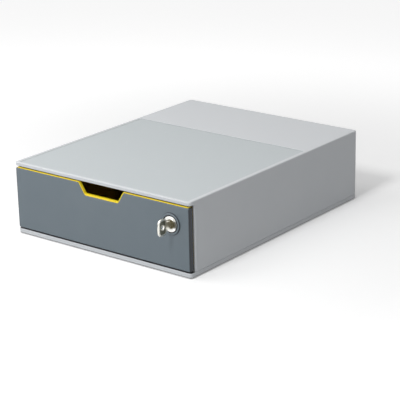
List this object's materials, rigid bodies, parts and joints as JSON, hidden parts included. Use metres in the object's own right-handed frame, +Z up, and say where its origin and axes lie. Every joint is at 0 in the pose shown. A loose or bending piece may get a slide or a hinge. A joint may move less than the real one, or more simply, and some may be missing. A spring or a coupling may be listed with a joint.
{
  "type": "desktop file drawer",
  "caption": "Low rectangular desktop drawer box with a stacking recess on top, one lockable pull-out tray with a finger notch, and a key in its cam lock.",
  "frame": {"origin": "centre of the overall box, key included, at the level of the desk", "axes": "+Z up, -Y out of the front, +X to the right as seen from the front"},
  "size_m": [0.28, 0.3796, 0.095],
  "materials": {
    "housing_grey": "fine moulded texture, light grey",
    "base_grey": "fine moulded texture, light grey",
    "front_grey": "satin, dark blue-grey",
    "tray_yellow": "glossy moulded yellow",
    "runner_plastic": "natural, waxy",
    "lock_chrome": "plated, polished",
    "plug_nickel": "nickel plated, satin",
    "key_nickel": "nickel plated, polished",
    "strike_steel": "zinc plated",
    "screw_steel": "zinc plated",
    "rubber": "matt black"
  },
  "bodies": {
    "housing": {"hood": "housing_grey", "base_plate": "base_grey", "left_runner": "runner_plastic", "right_runner": "runner_plastic", "runner_screws": "screw_steel", "base_screws": "screw_steel", "lock_strike": "strike_steel", "strike_screws": "screw_steel", "left_buffer": "rubber", "right_buffer": "rubber", "foot_front_left": "rubber", "foot_front_right": "rubber", "foot_rear_left": "rubber", "foot_rear_right": "rubber"},
    "drawer": {"drawer_tray": "tray_yellow", "drawer_fascia": "front_grey", "fascia_screws": "screw_steel", "lock_barrel": "lock_chrome", "lock_nut": "screw_steel"},
    "plug": {"lock_plug": "plug_nickel", "lock_cam": "strike_steel", "cam_screw": "screw_steel"},
    "key": {"key": "key_nickel"}
  },
  "joints": [
    {"name": "drawer_slide", "type": "slide", "parent": "housing", "child": "drawer", "axis": [0, -1, 0], "range_m": [0, 0.25]},
    {"name": "lock_turn", "type": "hinge", "parent": "drawer", "child": "plug", "pos_m": [0.1113, -0.16625, 0.0635], "axis": [0, 1, 0], "range_deg": [0, 90]},
    {"name": "key_pull", "type": "slide", "parent": "plug", "child": "key", "axis": [0, -1, 0], "range_m": [0, 0.03]}
  ]
}
